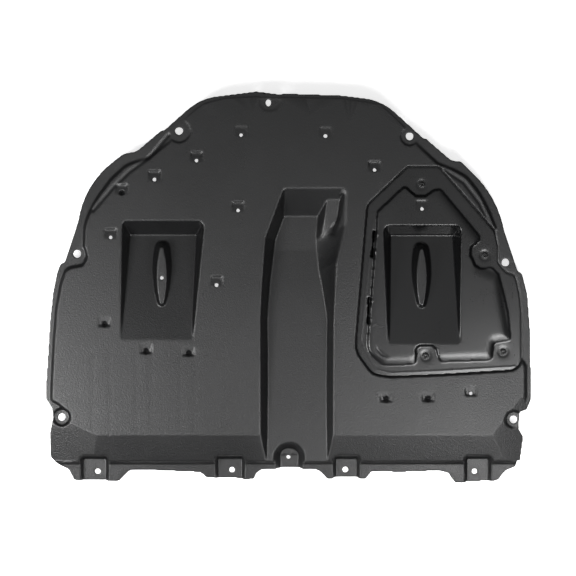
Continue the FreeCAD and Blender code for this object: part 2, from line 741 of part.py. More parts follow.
def make_nut(side, place):
    """The clip nut under the panel's ledge that a cover screw turns into."""
    block = doc.addObject("Part::Box", "nut_block_" + side)
    bind(block, Length="nut_width", Width="nut_width", Height="nut_height",
         Placement__Base__x=f"{place[0]} - nut_width / 2",
         Placement__Base__y=f"{place[1]} - nut_width / 2",
         Placement__Base__z="field_level - cover_seat_drop - wall - nut_height")
    bore = through_hole("nut_bore_" + side, place, "screw_radius + thread_clearance")
    return cut("clip_nut_" + side, block, bore)


def check_all(parts):
    """Stops if any object failed or any sub-part is empty or not valid."""
    failed = [item.Name for item in doc.Objects if {"Invalid", "Error"} & set(item.State)]
    if failed:
        raise RuntimeError("failed objects: " + ", ".join(failed))
    for part in parts:
        if part.Shape.isNull() or not part.Shape.isValid():
            raise RuntimeError(part.Label + " has no valid shape")


make_size_sheet()
parts = [make_panel(), make_cover()]
for screw_side, screw_place in COVER_SCREWS.items():
    parts.append(make_screw(screw_side, screw_place))
    parts.append(make_nut(screw_side, screw_place))
doc.recompute()
check_all(parts)

os.makedirs("parts", exist_ok=True)
for part in parts:
    part.Shape.exportStep(f"parts/{part.Label}.step")
    box = part.Shape.BoundBox
    print(part.Label, len(part.Shape.Solids), round(part.Shape.Volume), box.XLength, box.YLength,
          box.ZMin, box.ZMax)
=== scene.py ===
"""Engine splash shield: its moulded panel, access cover and fasteners, and the studio.

The part lies on its back on a pale floor and the camera looks straight down at its road face.
Everything is in metres in the part's own frame: +Z is the road face, +Y the front of the vehicle.
"""

import math

import bpy
import numpy as np
from bpy.props import FloatProperty, FloatVectorProperty, PointerProperty
from bpy.types import Operator, Panel, PropertyGroup
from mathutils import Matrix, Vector


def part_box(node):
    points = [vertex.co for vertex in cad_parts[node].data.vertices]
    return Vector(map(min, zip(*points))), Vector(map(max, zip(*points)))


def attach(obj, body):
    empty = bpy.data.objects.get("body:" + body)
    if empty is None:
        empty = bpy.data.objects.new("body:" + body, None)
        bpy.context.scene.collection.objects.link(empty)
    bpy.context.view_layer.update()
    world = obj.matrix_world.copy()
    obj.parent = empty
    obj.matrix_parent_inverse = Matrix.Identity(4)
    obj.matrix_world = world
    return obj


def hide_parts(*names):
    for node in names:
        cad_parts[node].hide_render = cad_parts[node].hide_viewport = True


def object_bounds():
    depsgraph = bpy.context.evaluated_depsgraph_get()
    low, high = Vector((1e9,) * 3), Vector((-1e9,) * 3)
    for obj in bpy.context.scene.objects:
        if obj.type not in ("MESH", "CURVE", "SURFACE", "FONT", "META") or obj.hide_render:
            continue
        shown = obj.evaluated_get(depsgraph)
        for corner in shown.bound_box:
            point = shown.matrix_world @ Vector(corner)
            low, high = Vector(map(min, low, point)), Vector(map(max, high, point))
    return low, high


bl_info = {
    "name": "Splash Shield Finish",
    "version": (1, 0, 0),
    "blender": (4, 5, 0),
    "location": "3D View > Sidebar > Shield",
    "description": "Dresses a moulded engine splash shield and lights it in a plain studio",
    "category": "Object",
}

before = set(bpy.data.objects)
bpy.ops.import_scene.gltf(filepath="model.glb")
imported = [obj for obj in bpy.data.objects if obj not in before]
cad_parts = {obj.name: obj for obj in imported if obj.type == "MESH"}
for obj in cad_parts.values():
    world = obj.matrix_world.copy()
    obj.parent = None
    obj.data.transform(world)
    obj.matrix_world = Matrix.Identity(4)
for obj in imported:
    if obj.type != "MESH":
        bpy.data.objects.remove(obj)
CAD_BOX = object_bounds()

# Fine forms: each line's points in metres, its half width and its height.
FLUTE_PLACES = (-0.390, -0.356, -0.303, -0.273, -0.215, -0.186, -0.124)
FLUTES = [(((x, -0.125), (x, -0.285)), 0.006, -0.00013) for x in FLUTE_PLACES]
LIP_GROOVES = [
    (((-0.390, 0.156), (-0.352, 0.200), (-0.318, 0.233), (-0.278, 0.262), (-0.240, 0.306)),
     0.004, -0.0022),
    (((0.312, 0.238), (0.352, 0.212), (0.384, 0.170), (0.412, 0.112)), 0.004, -0.002),
]
PANEL_BEADS = [
    (((-0.144, 0.010), (-0.102, -0.028), (-0.102, -0.124)), 0.002, 0.00015),
    (((-0.198, 0.342), (-0.168, 0.367), (-0.124, 0.377), (-0.064, 0.380), (0.106, 0.376),
      (0.184, 0.366), (0.231, 0.320)), 0.002, 0.0005),
]
LATCH_TRENCHES = [
    (((0.1728, 0.1166), (0.1676, 0.0598)), 0.0024, -0.014),
    (((0.1615, -0.0165), (0.1593, -0.0735)), 0.0024, -0.014),
]
PANEL_LINES = FLUTES + LIP_GROOVES + PANEL_BEADS + LATCH_TRENCHES

FLANGE_BEADS = [
    (((0.150, -0.118), (0.176, -0.163), (0.206, -0.170), (0.304, -0.166), (0.455, -0.157)),
     0.0016, 0.0005),
    (((0.172, 0.150), (0.146, -0.105), (0.150, -0.118)), 0.0016, 0.0004),
]
POCKET_RIM = (((0.202, -0.105), (0.194, 0.100), (0.196, 0.122), (0.200, 0.1245), (0.342, 0.1245),
               (0.346, 0.122), (0.3475, 0.105), (0.341, -0.105)), 0.0016, 0.0005)
SCUFFS = [
    (((0.168, -0.076), (0.177, -0.070), (0.182, -0.076), (0.189, -0.077)), 0.0013, 0.0002),
    (((0.190, 0.141), (0.204, 0.141)), 0.0013, 0.0001),
    (((0.197, 0.150), (0.197, 0.132)), 0.0013, 0.0001),
]
LATCH_SLOT_ENDS = [
    (((0.1735, 0.1110), (0.1725, 0.1040)), 0.0026, -0.006),
    (((0.1695, 0.0740), (0.1685, 0.0650)), 0.0026, -0.006),
    (((0.1635, -0.0215), (0.1630, -0.0290)), 0.0026, -0.006),
    (((0.1615, -0.0600), (0.1610, -0.0680)), 0.0026, -0.006),
]
# The rim of the island in the cover's pocket: an oval's middle, half width and half length.
ISLAND_MIDDLE = (0.268, 0.021)
ISLAND_HALF = (0.0088, 0.057)
ISLAND_RIM = ([(ISLAND_MIDDLE[0] + ISLAND_HALF[0] * math.cos(turn),
                ISLAND_MIDDLE[1] + ISLAND_HALF[1] * math.sin(turn))
               for turn in np.linspace(0, 2 * math.pi, 33)], 0.0014, 0.0004)
# Snap barbs at both ends of each latch slot.
BARB_PLACES = ((0.1785, 0.1080), (0.1745, 0.0745), (0.1675, -0.0240), (0.1650, -0.0610))
BARBS = [(((x, y), (x + 0.0005, y - 0.002)), 0.0016, 0.0022) for x, y in BARB_PLACES]
COVER_LINES = [*FLANGE_BEADS, POCKET_RIM, *SCUFFS, *LATCH_SLOT_ENDS, ISLAND_RIM, *BARBS]

# Places on the road face, in metres.
DRAINS = [
    (-0.094, 0.306), (0.075, 0.304), (-0.183, 0.255), (-0.267, 0.217), (-0.333, 0.190),
    (0.173, 0.236), (-0.100, 0.155), (-0.355, 0.101), (-0.143, 0.006), (-0.367, -0.072),
    (-0.284, -0.126), (-0.199, -0.131), (0.196, -0.223), (0.280, -0.222), (0.366, -0.211),
]
# Drains that look dark: each hole is filled by a pit, painted shade for the shadow seen through
# it.
# For the pit: its mouth's reach, the band round it that its rim is level with, and its depths.
PIT_REACH = 0.007
PIT_BAND = 0.002
PIT_RIM_DEPTH = 0.002
PIT_CONE_DEPTH = 0.010
SHADE_PIT_DRAINS = [
    (-0.332, 0.194), (-0.368, -0.072), (-0.284, -0.128), (-0.197, -0.131), (0.198, -0.222),
    (0.281, -0.220),
]
# Points where the field turns down towards the rear side seats, the way down, and its slope.
# It turns only beyond this X on both sides, behind this Y, and where it isn't already deep.
SEAT_FALLS = [((-0.436, -0.270), (-0.404, -0.915)), ((0.454, -0.234), (0.80, -0.60))]
SEAT_SLOPE = 0.31
SEATS_BEYOND = 0.35
SEATS_BEHIND = -0.22
SEAT_DEEPEST = 0.018
# The share of their depth that low forms lose: the front of the lip along Y and the square
# round each drain, and the depths between which a form stops being a low one.
LIP_LIFT = 0.8
LIP_SPAN = (0.21, 0.34)
DRAIN_LIFT = 0.45
DRAIN_SPAN = (0.020, 0.028)
LOW_FORM_SPAN = (0.0055, 0.008)
# The rear pads: the heights between which they end, where they begin, and their tilt from a line.
PAD_SPAN = (0.006, 0.012)
PADS_BEHIND = -0.335
PAD_TILT = 0.03
PAD_TILT_LINE = -0.388
COVER_SCREWS = {"front": (0.268, 0.207), "side": (0.394, 0.065), "rear_left": (0.276, -0.136),
                "rear_right": (0.431, -0.128)}
# Walls of the two sheets, and the width of the roll of their edges and its share as a depth.
PANEL_WALL = 0.003
COVER_WALL = 0.0025
EDGE_ROLL = 0.0015
EDGE_ROLL_SHARE = 0.4
SHARP_ANGLE = math.radians(50)
MOST_TRIANGLES = 190000
# The cover's crown: its top, a height just above the flange, and the line round it.
CROWN_TOP = 0.0455
FLANGE_TOP = 0.0403
CROWN_LINE = [
    (0.178, 0.153), (0.230, 0.202), (0.305, 0.202), (0.386, 0.102), (0.386, 0.044),
    (0.424, 0.028), (0.447, -0.105), (0.416, -0.110), (0.410, -0.142), (0.398, -0.146),
    (0.306, -0.149), (0.257, -0.149), (0.251, -0.154), (0.194, -0.156), (0.179, -0.150),
    (0.167, -0.139), (0.160, -0.124), (0.158, -0.105), (0.176, 0.115), (0.178, 0.153),
]
# The crown's left side, where the fall is sharp.
CROWN_LEFT = [(0.160, -0.124), (0.158, -0.105), (0.176, 0.115), (0.178, 0.153), (0.230, 0.202)]
# How far in from the crown's line the solid's own straight fall reaches.
STRAIGHT_FALL = 0.0175
# The curved fall that takes its place: its run on the left, what other sides add and the rear
# takes off, its slope and what the rear adds, and the span of Y from the rear to the rest.
FALL_RUN = 0.007
FALL_RUN_OTHER = 0.0145
FALL_RUN_REAR = 0.003
FALL_SLOPE = 0.42
FALL_SLOPE_REAR = 0.14
FALL_REAR_SPAN = (-0.13, 0.0)
FALL_SIDE_SPAN = (0.0, 0.02)
COVER_DRAIN = (0.265, 0.163)
COVER_DRAIN_LIFT = 0.75
COVER_DRAIN_SPAN = (0.018, 0.024)
COVER_DRAIN_DEEPEST = 0.008
# Round each cover screw: a dish's depth and reach, and a ring's depth, radius and half width.
DISH_DEPTH, DISH_REACH = 0.0011, 0.011
RING_DEPTH, RING_RADIUS, RING_HALF_WIDTH = 0.0010, 0.0088, 0.0013
# Lamps: where each stands and how wide it is.
LEFT_LAMP = ((-0.92, -0.40, 1.05), 0.45)
RIGHT_LAMP = ((0.54, -0.53, 1.05), 0.45)
OVERHEAD_LAMP = ((0, 0.32, 2.6), 3.2)
# What the floor gives off to the camera alone, and the surround's light to the rest.
FLOOR_GLOW = 0.72
SURROUND_LIGHT = 0.02
# The channel's side ledge: the middle of its front end, its height there, its fall towards the
# rear, its lean to the left, its half width, and how steep it is past its left side and its end.
LEDGE_FRONT = (0.091, 0.178)
LEDGE_LEVEL = 0.0288
LEDGE_FALL = 0.12
LEDGE_LEAN = 0.14
LEDGE_HALF_WIDTH = 0.0125
LEDGE_SIDE_SLOPE = 1.6
LEDGE_END_SLOPE = 0.9
# Its slanting end as a start and a slope over X, and the place, reach and blur of its fading.
LEDGE_END_START, LEDGE_END_SLANT = 0.0437, 0.95
LEDGE_FADE_PLACE = (0.080, 0.112)
LEDGE_FADE_REACH = 0.017
LEDGE_FADE_BLUR = 5.0


# Properties

class ShieldFinish(PropertyGroup):
    """Colours and surface sizes of the plastic."""

    panel_colour: FloatVectorProperty(
        name="Panel colour", description="Colour of the moulded panel", subtype="COLOR",
        size=3, min=0, max=1, default=(0.0040, 0.0041, 0.0044))
    cover_colour: FloatVectorProperty(
        name="Cover colour", description="Colour of the access cover", subtype="COLOR",
        size=3, min=0, max=1, default=(0.0032, 0.0033, 0.0036))
    grain_size: FloatProperty(
        name="Grain size", description="Width of one cell of the moulded grain",
        subtype="DISTANCE", unit="LENGTH", default=0.0016, min=0.0002, max=0.01)
    grain_depth: FloatProperty(
        name="Grain depth", description="Height of the moulded grain",
        subtype="DISTANCE", unit="LENGTH", default=0.00026, min=0, max=0.002)
    edge_radius: FloatProperty(
        name="Edge radius", description="Rounding of the moulded edges",
        subtype="DISTANCE", unit="LENGTH", default=0.0015, min=0.0005, max=0.01)
    cell: FloatProperty(
        name="Cell", description="Spacing of the grid that the skins are worked out on",
        subtype="DISTANCE", unit="LENGTH", default=0.0015, min=0.0008, max=0.01)


class StudioSettings(PropertyGroup):
    """Lamps, floor and camera."""

    camera_height: FloatProperty(
        name="Camera height", description="Height of the camera above the road face",
        subtype="DISTANCE", unit="LENGTH", default=5.0, min=1, max=20)
    view_width: FloatProperty(
        name="View width", description="Width that the camera sees at the road face",
        subtype="DISTANCE", unit="LENGTH", default=1.152, min=0.2, max=5)
    left_power: FloatProperty(
        name="Left power", description="Power of the soft lamp beyond the left edge",
        subtype="POWER", unit="POWER", default=21.5, min=0, max=2000)
    right_power: FloatProperty(
        name="Right power", description="Power of the soft lamp over the right rear corner",
        subtype="POWER", unit="POWER", default=13.5, min=0, max=2000)
    overhead_power: FloatProperty(
        name="Overhead power", description="Power of the wide soft lamp above the part",
        subtype="POWER", unit="POWER", default=18.0, min=0, max=2000)
    floor_tone: FloatProperty(
        name="Floor tone", description="How pale the floor is", default=0.8, min=0, max=1)


# Shader building blocks

def group_tree(name, inputs, outputs):
    """An empty shader group with its named number inputs and its outputs."""
    tree = bpy.data.node_groups.new(name, "ShaderNodeTree")
    for label, value in inputs.items():
        kind = "NodeSocketVector" if label == "Vector" else "NodeSocketFloat"
        item = tree.interface.new_socket(label, in_out="INPUT", socket_type=kind)
        if label != "Vector":
            item.default_value = value
    for label in outputs:
        tree.interface.new_socket(label, in_out="OUTPUT", socket_type="NodeSocketFloat")
    return tree, tree.nodes.new("NodeGroupInput"), tree.nodes.new("NodeGroupOutput")


def math_node(tree, operation, first, second=None, third=None):
    """A Math node; each value is a number or a socket."""
    node = tree.nodes.new("ShaderNodeMath")
    node.operation = operation
    for slot, value in enumerate((first, second, third)):
        if value is None:
            continue
        if isinstance(value, (int, float)):
            node.inputs[slot].default_value = value
        else:
            tree.links.new(value, node.inputs[slot])
    return node.outputs[0]


def map_range(tree, value, low, high, to_low=0.0, to_high=1.0):
    """A smooth Map Range from one span to another."""
    node = tree.nodes.new("ShaderNodeMapRange")
    node.interpolation_type = "SMOOTHSTEP"
    tree.links.new(value, node.inputs["Value"])
    for label, number in (("From Min", low), ("From Max", high),
                          ("To Min", to_low), ("To Max", to_high)):
        node.inputs[label].default_value = number
    return node.outputs[0]


def noise(tree, vector, scale, detail=2.0, roughness=0.5):
    """The value of a Noise texture."""
    node = tree.nodes.new("ShaderNodeTexNoise")
    node.inputs["Detail"].default_value = detail
    node.inputs["Roughness"].default_value = roughness
    tree.links.new(vector, node.inputs["Vector"])
    if isinstance(scale, (int, float)):
        node.inputs["Scale"].default_value = scale
    else:
        tree.links.new(scale, node.inputs["Scale"])
    return node.outputs["Fac"]


def build_grain_group():
    """Moulded grain: rounded cells of one size broken up by a finer noise."""
    tree, source, sink = group_tree("Moulded Grain", {"Vector": 0, "Cells per metre": 600.0},
                                    ["Height", "Pits"])
    cells = tree.nodes.new("ShaderNodeTexVoronoi")
    cells.feature = "SMOOTH_F1"
    cells.inputs["Smoothness"].default_value = 0.6
    tree.links.new(source.outputs["Vector"], cells.inputs["Vector"])
    tree.links.new(source.outputs["Cells per metre"], cells.inputs["Scale"])
    fine_scale = math_node(tree, "MULTIPLY", source.outputs["Cells per metre"], 2.3)
    fine = noise(tree, source.outputs["Vector"], fine_scale, 3.0, 0.6)
    height = math_node(tree, "MULTIPLY_ADD", fine, 0.5, cells.outputs["Distance"])
    broad_scale = math_node(tree, "MULTIPLY", source.outputs["Cells per metre"], 0.45)
    broad = noise(tree, source.outputs["Vector"], broad_scale, 2.0, 0.5)
    height = math_node(tree, "MULTIPLY_ADD", broad, 1.6, height)
    tree.links.new(height, sink.inputs["Height"])
    tree.links.new(map_range(tree, height, 1.1, 1.8), sink.inputs["Pits"])
    return tree


def build_handling_group():
    """Handling: slow cloudy patches, and thin scuffs that run mostly one way."""
    tree, source, sink = group_tree("Handling", {"Vector": 0}, ["Clouds", "Scuffs"])
    clouds = noise(tree, source.outputs["Vector"], 6.0, 4.0, 0.55)
    tree.links.new(map_range(tree, clouds, 0.3, 0.7), sink.inputs["Clouds"])
    stretch = tree.nodes.new("ShaderNodeMapping")
    stretch.inputs["Scale"].default_value = (240.0, 22.0, 60.0)
    stretch.inputs["Rotation"].default_value = (0, 0, 0.5)
    tree.links.new(source.outputs["Vector"], stretch.inputs["Vector"])
    lines = noise(tree, stretch.outputs[0], 1.0, 2.0, 0.5)
    tree.links.new(map_range(tree, lines, 0.66, 0.8), sink.inputs["Scuffs"])
    return tree


def build_edge_group():
    """Edges: where the rounded normal leaves the flat one, within a radius."""
    tree, source, sink = group_tree("Moulded Edges", {"Radius": 0.002}, ["Edge"])
    rounded = tree.nodes.new("ShaderNodeBevel")
    rounded.samples = 6
    tree.links.new(source.outputs["Radius"], rounded.inputs["Radius"])
    plain = tree.nodes.new("ShaderNodeNewGeometry")
    match = tree.nodes.new("ShaderNodeVectorMath")
    match.operation = "DOT_PRODUCT"
    tree.links.new(rounded.outputs[0], match.inputs[0])
    tree.links.new(plain.outputs["Normal"], match.inputs[1])
    tree.links.new(map_range(tree, match.outputs["Value"], 0.995, 0.85), sink.inputs["Edge"])
    return tree


GROUPS = {}


def shared_group(tree, build):
    """Places a shared shader group in a material; it is built when it is first used."""
    if build not in GROUPS:
        GROUPS[build] = build()
    node = tree.nodes.new("ShaderNodeGroup")
    node.node_tree = GROUPS[build]
    return node


def blend_colours(tree, mask, first, second):
    """Mixes two colours by a mask; the first is a colour or a socket."""
    node = tree.nodes.new("ShaderNodeMix")
    node.data_type = "RGBA"
    tree.links.new(mask, node.inputs["Factor"])
    if isinstance(first, tuple):
        node.inputs["A"].default_value = (*first, 1)
    else:
        tree.links.new(first, node.inputs["A"])
    node.inputs["B"].default_value = (*second, 1)
    return node.outputs["Result"]


def plastic(name, colour, finish, roughness, grain_share, scuffs):
    """Moulded black plastic with grain, cloudy gloss, paler edges and light scuffs.

    The grain is deepest at the rear of the part and shallower towards its front.
    """
    material = bpy.data.materials.new(name)
    material.use_nodes = True
    tree = material.node_tree
    shader = tree.nodes["Principled BSDF"]
    place = tree.nodes.new("ShaderNodeTexCoord").outputs["Object"]

    grain = shared_group(tree, build_grain_group)
    grain.inputs["Cells per metre"].default_value = 1 / finish.grain_size
    handling = shared_group(tree, build_handling_group)
    edges = shared_group(tree, build_edge_group)
    edges.inputs["Radius"].default_value = finish.edge_radius
    for node in (grain, handling):
        tree.links.new(place, node.inputs["Vector"])

    pale = tuple(min(1, c * 1.5 + 0.003) for c in colour)
    dusty = tuple(min(1, c * 1.2) for c in colour)
    clouded = blend_colours(tree, handling.outputs["Clouds"], colour, dusty)
    edge = math_node(tree, "MULTIPLY", edges.outputs["Edge"], 0.5)
    worn = blend_colours(tree, edge, clouded, pale)
    tree.links.new(worn, shader.inputs["Base Color"])

    rough = math_node(tree, "MULTIPLY_ADD", handling.outputs["Clouds"], 0.05, roughness)
    rough = math_node(tree, "MULTIPLY_ADD", grain.outputs["Pits"], 0.06, rough)
    rough = math_node(tree, "MULTIPLY_ADD", handling.outputs["Scuffs"], -scuffs, rough)
    tree.links.new(rough, shader.inputs["Roughness"])

    bump = tree.nodes.new("ShaderNodeBump")
    bump.inputs["Strength"].default_value = 1.0
    bump.inputs["Distance"].default_value = finish.grain_depth * grain_share
    along = tree.nodes.new("ShaderNodeSeparateXYZ")
    tree.links.new(place, along.inputs[0])
    open_grain = map_range(tree, along.outputs["Y"], -0.12, 0.22, to_low=1.0, to_high=0.4)
    height = math_node(tree, "MULTIPLY", grain.outputs["Height"], open_grain)
    tree.links.new(height, bump.inputs["Height"])
    tree.links.new(bump.outputs[0], shader.inputs["Normal"])
    return material


def metal(name, colour, roughness, metallic):
    """Plated or coated steel with a fine blotchy grain."""
    material = bpy.data.materials.new(name)
    material.use_nodes = True
    tree = material.node_tree
    shader = tree.nodes["Principled BSDF"]
    shader.inputs["Metallic"].default_value = metallic
    place = tree.nodes.new("ShaderNodeTexCoord").outputs["Object"]
    blotches = noise(tree, place, 900.0, 3.0, 0.6)
    darker = tuple(c * 0.75 for c in colour)
    tree.links.new(blend_colours(tree, blotches, colour, darker), shader.inputs["Base Color"])
    tree.links.new(map_range(tree, blotches, 0.2, 0.8, roughness - 0.08, roughness + 0.1),
                   shader.inputs["Roughness"])
    bump = tree.nodes.new("ShaderNodeBump")
    bump.inputs["Distance"].default_value = 0.00004
    tree.links.new(blotches, bump.inputs["Height"])
    tree.links.new(bump.outputs[0], shader.inputs["Normal"])
    return material


def dress(node_names, material):
    """Gives CAD nodes a material in their own slots."""
    for name in node_names:
        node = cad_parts[name]
        if not node.material_slots:
            node.data.materials.append(material)
        for slot in node.material_slots:
            slot.material = material


# Moulded skins

def blurred(field, spread):
    """The field averaged over its neighbours with bell-shaped weights; spread is in cells."""
    reach = max(1, math.ceil(3 * spread))
    taps = np.arange(-reach, reach + 1)
    weights = np.exp(-0.5 * (taps / spread) ** 2)
    weights /= weights.sum()
    for axis in (0, 1):
        field = sum(w * np.roll(field, t, axis) for w, t in zip(weights, taps))
    return field


def dropped_heights(node, cell):
    """Heights of a node's road face: a flat grid of points let fall straight down on to it.

    Gives the grid's X and Y, the heights and a field that is 1 where a point lands.
    """
    low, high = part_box(node)
    border = 4
    start = high.z + 0.1
    xs = np.arange(low.x - border * cell, high.x + border * cell, cell)
    ys = np.arange(low.y - border * cell, high.y + border * cell, cell)
    x, y = np.meshgrid(xs, ys)
    points = np.stack([x, y, np.full_like(x, start)], -1).reshape(-1, 3)
    mesh = bpy.data.meshes.new(node + "_fall")
    mesh.vertices.add(len(points))
    mesh.vertices.foreach_set("co", points.ravel())
    sheet = bpy.data.objects.new(node + "_fall", mesh)
    bpy.context.collection.objects.link(sheet)
    fall = sheet.modifiers.new("Fall", "SHRINKWRAP")
    fall.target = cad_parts[node]
    fall.wrap_method = "PROJECT"
    fall.use_project_z = True
    fall.use_negative_direction = True
    fall.use_positive_direction = False
    landed = sheet.evaluated_get(bpy.context.evaluated_depsgraph_get()).data
    fallen = np.empty(len(points) * 3, dtype=np.float32)
    landed.vertices.foreach_get("co", fallen)
    bpy.data.objects.remove(sheet)
    heights = fallen.reshape(-1, 3)[:, 2].reshape(x.shape).astype(float)
    solid = (heights < start - 0.001).astype(float)
    return x, y, heights, solid


def eased_surface(heights, solid, spread):
    """The heights with every corner rounded, carried a little past the edge of the sheet.

    A weighted mean over the points that landed, so that nothing outside pulls the edge down.
    """
    weight = blurred(solid, spread)
    eased = blurred(heights * solid, spread) / np.maximum(weight, 1e-9)
    wide = blurred(solid, 4 * spread)
    far = blurred(heights * solid, 4 * spread) / np.maximum(wide, 1e-12)
    return np.where(weight > 1e-6, eased, far)


def underside(heights, wall, cell):
    """The face one wall below: the lowest reach of a ball of that radius rolled over the top."""
    steps = int(wall / cell)
    under = heights - wall
    for across in range(-steps, steps + 1):
        for along in range(-steps, steps + 1):
            gap = (across ** 2 + along ** 2) * cell ** 2
            if gap < wall ** 2:
                moved = np.roll(heights, (across, along), (0, 1))
                under = np.minimum(under, moved - math.sqrt(wall ** 2 - gap))
    return under


def line_distance(x, y, points):
    """How far each grid point is from a line of straight runs.

    On each run the nearest point is a share of the way along it, kept between its two ends.
    """
    nearest = np.full_like(x, 1e9)
    for (ax, ay), (bx, by) in zip(points, points[1:]):
        dx, dy = bx - ax, by - ay
        share = np.clip(((x - ax) * dx + (y - ay) * dy) / (dx * dx + dy * dy), 0, 1)
        nearest = np.minimum(nearest, np.hypot(x - ax - share * dx, y - ay - share * dy))
    return nearest


def ridge(x, y, points, half_width, height):
    """A soft ridge along a line, bell-shaped across; a negative height makes a groove."""
    return height * np.exp(-(line_distance(x, y, points) / half_width) ** 2)


def sheet_faces(inside, corner, across, along):
    """Polygons that fill the inside of a grid, and the open runs of their rim.

    Each cell gives one polygon through its inside corners and the points where the edge of the
    sheet crosses its sides, in order. Cells with the same corners inside are made together.
    """
    code = inside[:-1, :-1] + 2 * inside[:-1, 1:] + 4 * inside[1:, 1:] + 8 * inside[1:, :-1]
    slots = [corner[:-1, :-1], across[:-1, :], corner[:-1, 1:], along[:, 1:],
             corner[1:, 1:], across[1:, :], corner[1:, :-1], along[:, :-1]]
    faces = []
    rim = []
    for kind in range(1, 16):
        cells = code == kind
        if not cells.any():
            continue
        corners_in = [bool(kind & 1 << i) for i in range(4)]
        present = []
        for i in range(4):
            if corners_in[i]:
                present.append(2 * i)
            if corners_in[i] != corners_in[(i + 1) % 4]:
                present.append(2 * i + 1)
        faces.append(np.stack([slots[s][cells] for s in present], -1))
        for first, second in zip(present, present[1:] + present[:1]):
            if first % 2 and second % 2 and not corners_in[(first // 2 + 1) % 4]:
                rim.append(np.stack([slots[first][cells], slots[second][cells]], -1))
    return faces, np.concatenate(rim)


def skin_mesh(name, x, y, top, under, cover):
    """A closed sheet: the top, the underside and a wall round every edge where cover is a half.

    Where the edge crosses a grid side, the point there is a straight share of the two ends.
    """
    inside = (cover > 0.5).astype(int)
    fields = np.stack([x, y, top, under], -1)
    corner = np.cumsum(inside.ravel()).reshape(inside.shape) - 1
    points = [fields[inside == 1]]
    count = len(points[0])
    maps = []
    for axis in (1, 0):
        a = cover[:, :-1] if axis else cover[:-1, :]
        b = cover[:, 1:] if axis else cover[1:, :]
        start = fields[:, :-1] if axis else fields[:-1, :]
        end = fields[:, 1:] if axis else fields[1:, :]
        crossed = (a > 0.5) != (b > 0.5)
        share = ((0.5 - a[crossed]) / (b[crossed] - a[crossed]))[:, None]
        points.append(start[crossed] + share * (end[crossed] - start[crossed]))
        maps.append(np.cumsum(crossed.ravel()).reshape(crossed.shape) - 1 + count)
        count += len(points[-1])
    flat = np.concatenate(points)
    faces, rim = sheet_faces(inside, corner, *maps)
    rows = list(faces)
    rows += [face[:, ::-1] + count for face in faces]
    rows.append(np.stack([rim[:, 1], rim[:, 0], rim[:, 0] + count, rim[:, 1] + count], -1))
    both = np.concatenate([flat[:, [0, 1, 2]], flat[:, [0, 1, 3]]])
    return filled_mesh(name, both, rows)


def filled_mesh(name, points, rows):
    """A mesh from points and arrays of faces, each array with faces of one corner count."""
    mesh = bpy.data.meshes.new(name)
    mesh.vertices.add(len(points))
    mesh.vertices.foreach_set("co", points.astype(np.float32).ravel())
    loops = np.concatenate([row.ravel() for row in rows]).astype(np.int32)
    counts = np.concatenate([np.full(len(row), row.shape[1]) for row in rows])
    mesh.loops.add(len(loops))
    mesh.loops.foreach_set("vertex_index", loops)
    mesh.polygons.add(len(counts))
    starts = np.concatenate([[0], np.cumsum(counts)[:-1]]).astype(np.int32)
    mesh.polygons.foreach_set("loop_start", starts)
    mesh.update(calc_edges=True)
    mesh.validate()
    return mesh


def thinned(mesh, most):
    """The mesh with its flat parts merged until it has at most so many triangles."""
    triangles = len(mesh.loops) - 2 * len(mesh.polygons)
    rough = bpy.data.objects.new(mesh.name + "_rough", mesh)
    bpy.context.collection.objects.link(rough)
    merge = rough.modifiers.new("Merge", "DECIMATE")
    merge.ratio = min(1.0, most / triangles)
    result = bpy.data.meshes.new_from_object(
        rough.evaluated_get(bpy.context.evaluated_depsgraph_get()))
    bpy.data.objects.remove(rough)
    return result


def moulded_skin(node, finish, wall, form, lines, shade_pits=()):
    """A rounded, closed skin over a CAD sheet, with its fine forms added to the heights.

    Each hole at a listed place is closed by a pit, a cone that falls from the sheet round it; the
    pit is painted shade, dark plastic where the open hole would show shadow. The top's outer edge
    rolls down by the square of its nearness, and top and underside both stay inside the solids'
    box.
    """
    cell = finish.cell
    x, y, heights, solid = dropped_heights(node, cell)
    # Painted shade: these holes are closed by pits that stand in for the shadow seen through
    # them.
    for place in shade_pits:
        away = np.hypot(x - place[0], y - place[1])
        near = (away < PIT_REACH + PIT_BAND) & (solid > 0.5)
        pit = (away < PIT_REACH) & (solid < 0.5)
        cone = PIT_CONE_DEPTH * (1 - away[pit] / PIT_REACH)
        heights[pit] = heights[near].mean() - PIT_RIM_DEPTH - cone
        solid[pit] = 1
    cover = blurred(solid, 1.0)
    top = eased_surface(form(x, y, heights), solid, finish.edge_radius / cell)
    rim = np.clip(2 * (1 - blurred(solid, EDGE_ROLL / cell)), 0, 1)
    top = top - EDGE_ROLL * EDGE_ROLL_SHARE * rim ** 2
    for line, half_width, height in lines:
        top = top + ridge(x, y, line, half_width, height)
    top = np.minimum(top, CAD_BOX[1].z)
    under = np.maximum(underside(top, wall, cell), CAD_BOX[0].z)
    mesh = thinned(skin_mesh(node + "_skin", x, y, top, under, cover), MOST_TRIANGLES)
    mesh.name = node + "_skin"
    mesh.shade_smooth()
    mesh.set_sharp_from_angle(angle=SHARP_ANGLE)
    skin = bpy.data.objects.new(node + "_skin", mesh)
    bpy.context.collection.objects.link(skin)
    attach(skin, "root")
    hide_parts(node)
    return skin


